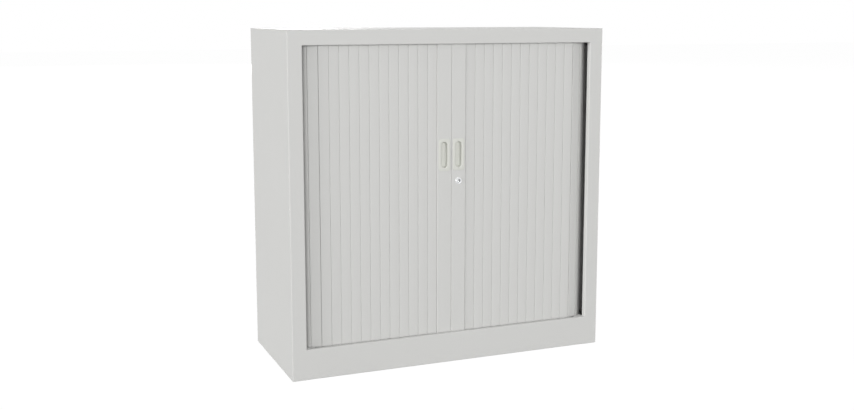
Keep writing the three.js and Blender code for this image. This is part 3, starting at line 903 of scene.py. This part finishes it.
# %% [markdown]
# The tree is written in three parts. The bar is the filled section, drawn up and closed at its
# foot. A pin is a cylinder that starts a little inside the bar's end. Then all of it is stood on
# the hinge.

# %% The slat tree
PIN_OVERLAP = 2 * MM
PIN_SIDES = 24
SLAT_SIZES = ("Bottom", "Top", "Pin bottom", "Pin top", "Pin radius", "Turn", "Tone")


def join_parts(nodes, first, *others):
    whole = nodes.node("GeometryNodeJoinGeometry", {}, {0: first})
    for part in others:
        nodes.tree.links.new(part.socket, whole.socket.node.inputs[0])
    return whole


def drawn_bar(nodes, given):
    curve = nodes.node("GeometryNodeMeshToCurve", {}, {"Mesh": given["Section"]})
    foot = nodes.node("GeometryNodeFillCurve", {"mode": "TRIANGLES"}, {"Curve": curve})
    rise = upwards(nodes, given["Top"] - given["Bottom"])
    drawn = nodes.node("GeometryNodeExtrudeMesh", {"mode": "FACES"},
                       {"Mesh": foot, "Offset": rise, "Offset Scale": 1.0, "Individual": False})
    underside = nodes.node("GeometryNodeFlipFaces", {}, {"Mesh": foot})
    bar = nodes.node("GeometryNodeMergeByDistance", {},
                     {"Geometry": join_parts(nodes, drawn, underside), "Distance": SAME_POINT})
    return nodes.node("GeometryNodeTransform", {},
                      {"Geometry": bar, "Translation": upwards(nodes, given["Bottom"])})


def end_pin(nodes, given, end, tip, inwards):
    root = given[end] + inwards * PIN_OVERLAP
    height = nodes.node("ShaderNodeMath", {"operation": "ABSOLUTE"}, {0: root - given[tip]})
    pin = nodes.node("GeometryNodeMeshCylinder", {"fill_type": "NGON"},
                     {"Vertices": PIN_SIDES, "Radius": given["Pin radius"], "Depth": height})
    middle = upwards(nodes, (root + given[tip]) * 0.5)
    place = nodes.node("ShaderNodeVectorMath", {"operation": "ADD"},
                       {0: given["Pin place"], 1: middle})
    return nodes.node("GeometryNodeTransform", {}, {"Geometry": pin, "Translation": place})


def slat_tree():
    nodes = new_tree("Curtain slat", (
        ("Section", "Geometry"), *((size, "Float") for size in SLAT_SIZES), ("Hinge", "Vector"),
        ("Pin place", "Vector"), ("Finish", "Material")), "Slat")
    given = nodes.node("NodeGroupInput", {}, {})
    low_pin = end_pin(nodes, given, "Bottom", "Pin bottom", 1)
    high_pin = end_pin(nodes, given, "Top", "Pin top", -1)
    whole = join_parts(nodes, drawn_bar(nodes, given), low_pin, high_pin)
    turn = upwards(nodes, given["Turn"])
    stood = nodes.node("GeometryNodeTransform", {},
                       {"Geometry": whole, "Translation": given["Hinge"], "Rotation": turn})
    toned = nodes.node("GeometryNodeStoreNamedAttribute", {"data_type": "FLOAT", "domain": "POINT"},
                       {"Geometry": stood, "Name": SLAT_TONE, "Value": given["Tone"]})
    return end_tree(nodes, toned, given["Finish"])


curtain_slat = slat_tree()

# %% [markdown]
# The frame's slats stand where the closed curtain holds them, straight along the front and then
# round the track's corner. The top of each one's bead is the only part that reaches to its full
# height, so the middle of those points is its outer hinge. Each slat runs from its neighbour's
# hinge to its own.

# %% Hinges along the curtain
TIP_REACH = 0.1 * MM


def outer_hinge(node):
    """The middle of a slat's bead, found from the corners at its highest level."""
    points = [corner.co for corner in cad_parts[node].data.vertices]
    highest = max(point.z for point in points)
    tip = [point for point in points if point.z > highest - TIP_REACH]
    low = Vector([min(point[axis] for point in tip) for axis in range(3)])
    high = Vector([max(point[axis] for point in tip) for axis in range(3)])
    return (low + high) / 2


def hinges(side, flip):
    """A door's slats from the middle outwards, and the hinges between them."""
    low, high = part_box(f"{side}_lead_slat")
    edge = high.x if flip > 0 else low.x
    first = Vector((edge - flip * BEAD_RADIUS, curtain_y, 0))
    names = sorted(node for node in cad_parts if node.startswith(f"{side}_slat_"))
    return names, [first] + [outer_hinge(node) for node in names]


print("first hinge, mm:", round(hinges("right", 1)[1][0].x / MM, 1))

# %% [markdown]
# Each slat's tone is drawn from one seeded source, left door first, so it is the same in each run.

# %% Make the slats
MEAN_TONE = 0.5
TONE_SPREAD = 0.10
tones = random.Random(28)


def make_slats(side, flip):
    names, places = hinges(side, flip)
    for node, inner, outer in zip(names, places, places[1:]):
        run = (outer - inner).to_2d()
        piece = new_piece(f"{node}_bar", wire(f"{node}_wire", outlines, flip))
        run_tree(piece, curtain_slat, {
            "Bottom": slat_low.z, "Top": slat_high.z,
            "Pin bottom": first_low.z, "Pin top": first_high.z, "Pin radius": BEAD_RADIUS,
            "Turn": math.atan2(run.y, run.x) + (math.pi if flip < 0 else 0),
            "Hinge": (inner.x, inner.y, 0), "Pin place": (flip * SLAT_PITCH, 0, 0),
            "Tone": MEAN_TONE + tones.uniform(-TONE_SPREAD, TONE_SPREAD), "Finish": slat_finish,
        })
        dress(piece, slat_finish, node, "slat_plastic", node)


make_slats("left", -1)
make_slats("right", 1)

# %% [markdown]
# ## The leading slats
# The wider slats that meet in the middle are solid in the frame, with their openings for the pulls
# and the lock. They need only rounded edges and the same plastic, so they are finished copies. The
# solids stop 0.4 mm short of the middle. The copies reach to 0.1 mm from it, because the real slats
# meet when they are shut. Where the raised front ends, two edges 45.4 and 45.6 mm from the middle
# lie closer together than a rounding is wide, so they stay sharp.

# %% Leading slats
LEAD_EDGE = 0.4 * MM
LEAD_SEAM = (45.4 * MM, 45.6 * MM)
MEETING_FACE = 0.4 * MM
MEETING_GAP = 0.1 * MM


def store_tone(mesh, tone):
    layer = mesh.attributes.new(SLAT_TONE, "FLOAT", "POINT")
    layer.data.foreach_set("value", [tone] * len(mesh.vertices))


for side in ("left", "right"):
    mesh = merged_copy(f"{side}_lead_slat")
    close_joint(mesh, X_AXIS, MEETING_FACE, MEETING_GAP)
    lead = new_piece(f"{side}_lead_bar", mesh)
    soften(lead, LEAD_EDGE, segments=3, joints=[(X_AXIS, place) for place in LEAD_SEAM])
    store_tone(lead.data, MEAN_TONE)
    dress(lead, slat_finish, f"{side}_door", "slat_plastic", f"{side}_lead_slat")

# %% [markdown]
# ## Recessed pulls
# Each pull is one moulding: a thin plate with soft edges, and a cup that fingers reach into. A loft
# fits it well, because every section is the same rounded outline at another size and depth. The
# rings start round the middle of the cup's floor, climb its wall, roll over the rim on to the
# plate, and return behind it.

# %% Pulls
PULL_PLATE = 1.0 * MM
PULL_CORNER = 7 * MM
PULL_EDGE = 0.7 * MM
RECESS = (20 * MM, 77 * MM)
RECESS_FILLET = 6.0 * MM
RIM = 1.4 * MM
CUP = (30 * MM, 87 * MM)
CUP_FLOOR = 1.5 * MM
DRAFT = 1.0 * MM
FLOOR_START = 1.0 * MM
LEAST_CORNER = 0.3 * MM


def inset(size, corner, step):
    """A rounded outline drawn in by a step."""
    return rounded(size[0] - 2 * step, size[1] - 2 * step, max(corner - step, LEAST_CORNER))


def pull_rings(low, high):
    plate = (high.x - low.x, high.z - low.z)
    face, back = low.y, high.y
    floor = back - CUP_FLOOR
    round_end = RECESS[0] / 2
    profile = [(RECESS, round_end, DRAFT + RECESS_FILLET + FLOOR_START, floor)]
    for along, out in arc(90, 0, ROUND_STEPS):
        step = DRAFT + RECESS_FILLET * (1 - along)
        profile.append((RECESS, round_end, step, floor - RECESS_FILLET * (1 - out)))
    for along, out in arc(0, 90, ROUND_STEPS):
        profile.append((RECESS, round_end, RIM * (along - 1), face + RIM * (1 - out)))
    for along, out in arc(90, 0, EDGE_STEPS):
        profile.append((plate, PULL_CORNER, PULL_EDGE * (1 - along), face + PULL_EDGE * (1 - out)))
    profile += [
        (plate, PULL_CORNER, 0, face + PULL_PLATE), (CUP, round_end, 0, face + PULL_PLATE),
        (CUP, round_end, 0, back - PULL_PLATE), (CUP, round_end, PULL_PLATE, back)]
    return [front_ring(inset(size, corner, step), (low + high) / 2, depth)
            for size, corner, step, depth in profile]


for side in ("left", "right"):
    pull = new_piece(f"{side}_pull", loft(f"{side}_pull", pull_rings(*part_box(f"{side}_handle"))))
    smooth(pull)
    dress(pull, pull_finish, f"{side}_door", "pull_plastic", f"{side}_handle")

# %% [markdown]
# ## The lock
# The lock's barrel and plug are turned parts. The barrel has a domed flange on the slat, a bore for
# the plug and a thread for its nut. Its profile is a closed loop, so the bore stays open from end
# to end.

# %% Lock barrel
LOCK_DOME = 0.9 * MM
LOCK_RIM = 0.5 * MM
BORE_LIP = 1.3 * MM
BORE_PLAY = 0.4 * MM
FLANGE_PLAY = 0.3 * MM
BARREL_RADIUS = 8 * MM
THREAD_PITCH = 1.0 * MM
THREAD_DEPTH = 0.45 * MM

body_low, body_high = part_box("lock_body")
plug_low, plug_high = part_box("lock_plug")
lock_middle = (body_low + body_high) / 2
flange_radius = (body_high.x - body_low.x) / 2
plug_radius = (plug_high.x - plug_low.x) / 2
bore_radius = plug_radius + BORE_PLAY


def barrel_profile():
    """Radii and depths: the bore's lip, its rim, the dome, the flange's back, and the thread."""
    face, rear, seat = body_low.y, body_high.y, slat_low.y - FLANGE_PLAY
    profile = [(bore_radius, face + BORE_LIP)]
    for along, out in arc(180, 90, EDGE_STEPS):
        profile.append((bore_radius + LOCK_RIM * (1 + along), face + LOCK_RIM * (1 - out)))
    for along, out in arc(90, 0, ROUND_STEPS):
        profile.append((flange_radius - LOCK_DOME * (1 - along), face + LOCK_DOME * (1 - out)))
    profile += [(flange_radius, seat), (BARREL_RADIUS, seat)]
    root = BARREL_RADIUS - THREAD_DEPTH
    depth = seat + 2 * THREAD_PITCH
    while depth < rear - THREAD_PITCH:
        profile += [(BARREL_RADIUS, depth), (root, depth + THREAD_PITCH / 2)]
        depth += THREAD_PITCH
    return profile + [(root, rear), (bore_radius, rear)]


barrel_rings = turned(barrel_profile(), lock_middle, front_ring)
barrel = new_piece("lock_barrel", loft("lock_barrel", barrel_rings, ring_closed=True))
smooth(barrel)
dress(barrel, chrome, "right_door", "chrome", "lock_body")

# %% [markdown]
# The plug turns with the key. Its front is a dish with a thin wall round it, and the key's slot
# runs from the dish's floor back to a dust shutter. The wall and the slot's sides get the near-black
# painted shade, so the dish draws a dark crescent of painted shade on one side, while its chrome
# floor shines like the flange.

# %% Lock plug
KEY_SLOT = (1.6 * MM, 6.4 * MM)
KEY_SLOT_CORNER = 0.3 * MM
SHUTTER_DEPTH = 0.9 * MM
DISH_DEPTH = 4.0 * MM
DISH_WALL = 0.7 * MM
PLUG_EDGE = 0.4 * MM
TAIL = 7 * MM

dish_radius = plug_radius - DISH_WALL
dish_floor = plug_low.y + DISH_DEPTH
shutter = dish_floor + SHUTTER_DEPTH


def plug_rings():
    face, tail_start = plug_low.y, body_high.y
    slot = rounded(*KEY_SLOT, KEY_SLOT_CORNER)
    wide_slot = rounded(KEY_SLOT[0] + PLUG_EDGE, KEY_SLOT[1] + PLUG_EDGE, KEY_SLOT_CORNER)
    tail = rounded(TAIL, TAIL, PLUG_EDGE)
    round_part = [
        (dish_radius - PLUG_EDGE, dish_floor),
        (dish_radius, dish_floor - PLUG_EDGE),
        (dish_radius, face + PLUG_EDGE / 2),
        (dish_radius + PLUG_EDGE / 2, face),
        (plug_radius, face + PLUG_EDGE),
        (plug_radius, tail_start),
    ]
    return [
        front_ring(slot, lock_middle, shutter),
        front_ring(slot, lock_middle, dish_floor + PLUG_EDGE / 2),
        front_ring(wide_slot, lock_middle, dish_floor),
        *turned(round_part, lock_middle, front_ring),
        front_ring(tail, lock_middle, tail_start),
        front_ring(tail, lock_middle, plug_high.y),
    ]


plug = new_piece("lock_plug_turned", loft("lock_plug_turned", plug_rings()))
smooth(plug)
dress(plug, chrome, "lock", "chrome", "lock_plug")

# %% [markdown]
# The faces that get the near-black painted shade are those inside the dish's radius and in front
# of the shutter that stand steep.

# %% Painted shade on the plug's steep faces
STEEP = 0.5

# The plug's second material is the painted shade.
plug.data.materials.append(dish_shade_finish)
for face in plug.data.polygons:
    offset = face.center - lock_middle
    inside = math.hypot(offset.x, offset.z) < dish_radius and face.center.y < shutter
    if inside and abs(face.normal.y) < STEEP:
        face.material_index = 1
print("dark faces of the plug:", sum(face.material_index for face in plug.data.polygons))

# %% [markdown]
# ## Small metal and nylon parts
# The cam, its nut, the keeper, the glides and the tracks keep the shapes of their solids. Each gets
# the rounding that its making gives it: sheared steel a small one, moulded nylon a larger one.

# %% Small parts
small_parts = [
    ("lock_cam", "plated", zinc, "lock", "zinc_steel", 0.25 * MM),
    ("lock_nut", "plated", zinc, "right_door", "zinc_steel", 0.4 * MM),
    ("left_keeper", "plated", zinc, "left_door", "zinc_steel", 0.3 * MM),
]
for side in ("left", "right"):
    for end in ("bottom", "top"):
        small_parts += [
            (f"{side}_{end}_glide", "moulded", nylon, f"{side}_door", "nylon", 0.35 * MM),
            (f"{side}_{end}_track", "extruded", track_finish, "case", "track_plastic", 0.3 * MM),
        ]
for node, making, finish, body, slot, edge in small_parts:
    piece = new_piece(f"{node}_{making}", merged_copy(node))
    soften(piece, edge)
    dress(piece, finish, body, slot, node)

# %% [markdown]
# ## Levelling feet
# Behind the plinth the case stands on four levelling feet: a pad, a cone, a threaded stem and a nut
# against the floor pan. The pad to the stem is one loft, with the thread as rings of two radii. The
# nut is a second loft of six-sided rings.

# %% Feet
FOOT_PAD = 5 * MM
FOOT_PAD_EDGE = 1.0 * MM
FOOT_CONE = 4 * MM
FOOT_CONE_RADIUS = 8 * MM
FOOT_STEM = 5 * MM
FOOT_THREAD = 1.5 * MM
FOOT_THREAD_ROOT = 4.3 * MM
FOOT_NUT = 8 * MM
NUT_RADIUS = 8.5 * MM
NUT_END_SHARE = 0.94
NUT_CHAMFER = 0.6 * MM


def foot_profile(low, high):
    """Radii and heights: the pad with its rounded edge, the cone, and the thread."""
    pad, edge = (high.x - low.x) / 2, FOOT_PAD_EDGE
    profile = [(pad - edge, low.z), (pad, low.z + edge)]
    for along, out in arc(0, 90, EDGE_STEPS):
        profile.append((pad - edge * (1 - along), low.z + FOOT_PAD - edge * (1 - out)))
    level = low.z + FOOT_PAD + FOOT_CONE
    profile.append((FOOT_CONE_RADIUS, level))
    while level < high.z - FOOT_NUT:
        profile += [(FOOT_STEM, level), (FOOT_THREAD_ROOT, level + FOOT_THREAD / 2)]
        level += FOOT_THREAD
    return profile + [(FOOT_THREAD_ROOT, high.z)]


def nut_rings(middle, low, high):
    turns = [math.tau * turn / 6 for turn in range(6)]
    hexagon = [NUT_RADIUS * Vector((math.cos(turn), math.sin(turn))) for turn in turns]
    smaller = [NUT_END_SHARE * point for point in hexagon]
    rings = (
        (smaller, low), (hexagon, low + NUT_CHAMFER), (hexagon, high - NUT_CHAMFER),
        (smaller, high))
    return [level_ring(outline, middle, level) for outline, level in rings]


def foot_mesh(name, low, high):
    middle = (low + high) / 2
    stem = loft(f"{name}_stem", turned(foot_profile(low, high), middle, level_ring))
    nut = loft(f"{name}_nut", nut_rings(middle, high.z - FOOT_NUT, high.z))
    shape = bmesh.new()
    shape.from_mesh(stem)
    shape.from_mesh(nut)
    return mesh_of(shape, name)


for side in ("left", "right"):
    for end in ("front", "rear"):
        node = f"{side}_{end}_foot"
        foot = new_piece(f"{node}_threaded", foot_mesh(f"{node}_threaded", *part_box(node)))
        smooth(foot)
        dress(foot, zinc, "case", "zinc_steel", node)

# %% [markdown]
# ## Floor and background
# The cupboard stands on a plain pale floor that runs into a white background without an edge. What
# the camera sees of the floor is mostly plain white light, so that it meets the white world, mixed
# with a little real shading, which keeps the soft shadow at the cupboard's foot. Shiny metal sees
# the same white as the camera.

# %% Floor
FLOOR_DROP = 0.5 * MM
FLOOR_HALF = 30.0
FLOOR_GREY = (0.50, 0.50, 0.50, 1)
FLOOR_GLOW = 1.10
SHADOW_SHARE = 0.12
WHITE = (1, 1, 1, 1)


def seen_directly(nodes):
    """One where the camera, a mirror or a glass looks, and nothing where plain light bounces."""
    path = nodes.node("ShaderNodeLightPath", {}, {})
    return path["Is Camera Ray"] + path["Is Glossy Ray"] + path["Is Transmission Ray"]


def pale_floor():
    finish = Finish("pale_floor")
    plain = finish.node("ShaderNodeBsdfDiffuse", {}, {"Color": FLOOR_GREY})
    white = finish.node("ShaderNodeEmission", {}, {"Color": WHITE, "Strength": FLOOR_GLOW})
    share = (1 - SHADOW_SHARE) * seen_directly(finish)
    mixed = finish.node("ShaderNodeMixShader", {}, {0: share, 1: plain, 2: white})
    finish.fill(finish.tree.nodes["Material Output"], {"Surface": mixed})
    return finish.material


floor_mesh = bpy.data.meshes.new("floor")
floor_corners = [
    (x * FLOOR_HALF, y * FLOOR_HALF, -FLOOR_DROP) for x, y in ((-1, -1), (1, -1), (1, 1), (-1, 1))]
floor_mesh.from_pydata(floor_corners, [], [(0, 1, 2, 3)])
floor = new_piece("floor", floor_mesh)
floor.data.materials.append(pale_floor())
print("floor, m:", 2 * FLOOR_HALF)

# %% [markdown]
# ## Light
# The photograph was lit softly and evenly. So an even grey world gives part of the light and six
# area lamps give the rest. The key lamp stands in front, a little to the right and above, and draws
# the shadow along the top and right edges of the pulls. A second one in front and to the left
# softens that shadow. One more stands on each side, one behind and one overhead. All but the last
# are far off, so that they light a whole side alike.

# %% World
AMBIENT = 0.33


def studio_world():
    world = bpy.data.worlds.new("studio")
    world.use_nodes = True
    nodes = Nodes(world.node_tree)
    grey = nodes.node("ShaderNodeBackground", {}, {"Color": WHITE, "Strength": AMBIENT})
    white = nodes.node("ShaderNodeBackground", {}, {"Color": WHITE, "Strength": 1.0})
    mixed = nodes.node("ShaderNodeMixShader", {}, {0: seen_directly(nodes), 1: grey, 2: white})
    nodes.fill(nodes.tree.nodes["World Output"], {"Surface": mixed})
    return world


bpy.context.scene.world = studio_world()
print("world:", bpy.context.scene.world.name)

# %% Lamps
MIDDLE = Vector((0, 0, 0.5))
LAMP_DISTANCE = 20.0
TOP_LAMP_PLACE = (-0.5, 0.0, 6.0)


def area_lamp(name, place, size, power):
    """A square lamp that faces the cupboard's middle, with its size in metres and power in watts."""
    light = bpy.data.lights.new(name, "AREA")
    light.shape = "SQUARE"
    light.size = size
    light.energy = power
    lamp = bpy.data.objects.new(name, light)
    lamp.location = place
    lamp.rotation_euler = (MIDDLE - Vector(place)).to_track_quat("-Z", "Y").to_euler()
    bpy.context.scene.collection.objects.link(lamp)


def around(turn, rise):
    """A far place, by degrees to the left of straight in front and degrees up."""
    turn, rise = math.radians(turn), math.radians(rise)
    level = LAMP_DISTANCE * math.cos(rise)
    height = MIDDLE.z + LAMP_DISTANCE * math.sin(rise)
    return (-level * math.sin(turn), -level * math.cos(turn), height)


area_lamp("key_lamp", around(-14, 11), 5.0, 1180)
area_lamp("second_lamp", around(25, 6), 3.0, 925)
area_lamp("left_lamp", around(80, 6), 5.0, 1980)
area_lamp("right_lamp", around(-95, 6), 5.0, 1740)
area_lamp("rear_lamp", around(-170, 6), 5.0, 1900)
area_lamp("top_lamp", TOP_LAMP_PLACE, 3.6, 72)
print("lamps:", [item.name for item in bpy.data.lights])

# %% [markdown]
# ## Camera
# The view was recovered from the seven corners of the case that the photograph shows. Its verticals
# are parallel there, as a lens shifted far down draws them. So large a shift would push the
# cupboard out of the other views, which keep it. So the shift is small here and the camera is
# tilted down instead, and the verticals draw together slightly towards the floor.

# %% Camera
SENSOR = 36.0
IMAGE_WIDTH = 854
FOCAL_PIXELS = 1075.5
CAMERA_PLACE = (-1.269, -3.100, 1.039)
CAMERA_YAW = 22.31
CAMERA_PITCH = 8.23
SHIFT_PIXELS = 34
VIEW_REACH = 200

camera_data = bpy.data.cameras.new("view")
camera_data.sensor_width = SENSOR
camera_data.lens = FOCAL_PIXELS * SENSOR / IMAGE_WIDTH
camera_data.shift_y = -SHIFT_PIXELS / IMAGE_WIDTH
camera_data.clip_end = VIEW_REACH
camera = bpy.data.objects.new("view", camera_data)
camera.location = CAMERA_PLACE
camera.rotation_euler = Euler((math.radians(90 - CAMERA_PITCH), 0, -math.radians(CAMERA_YAW)))
bpy.context.scene.collection.objects.link(camera)
bpy.context.scene.camera = camera
bpy.context.scene.view_settings.view_transform = "Standard"
print("lens, mm:", round(camera_data.lens, 2))
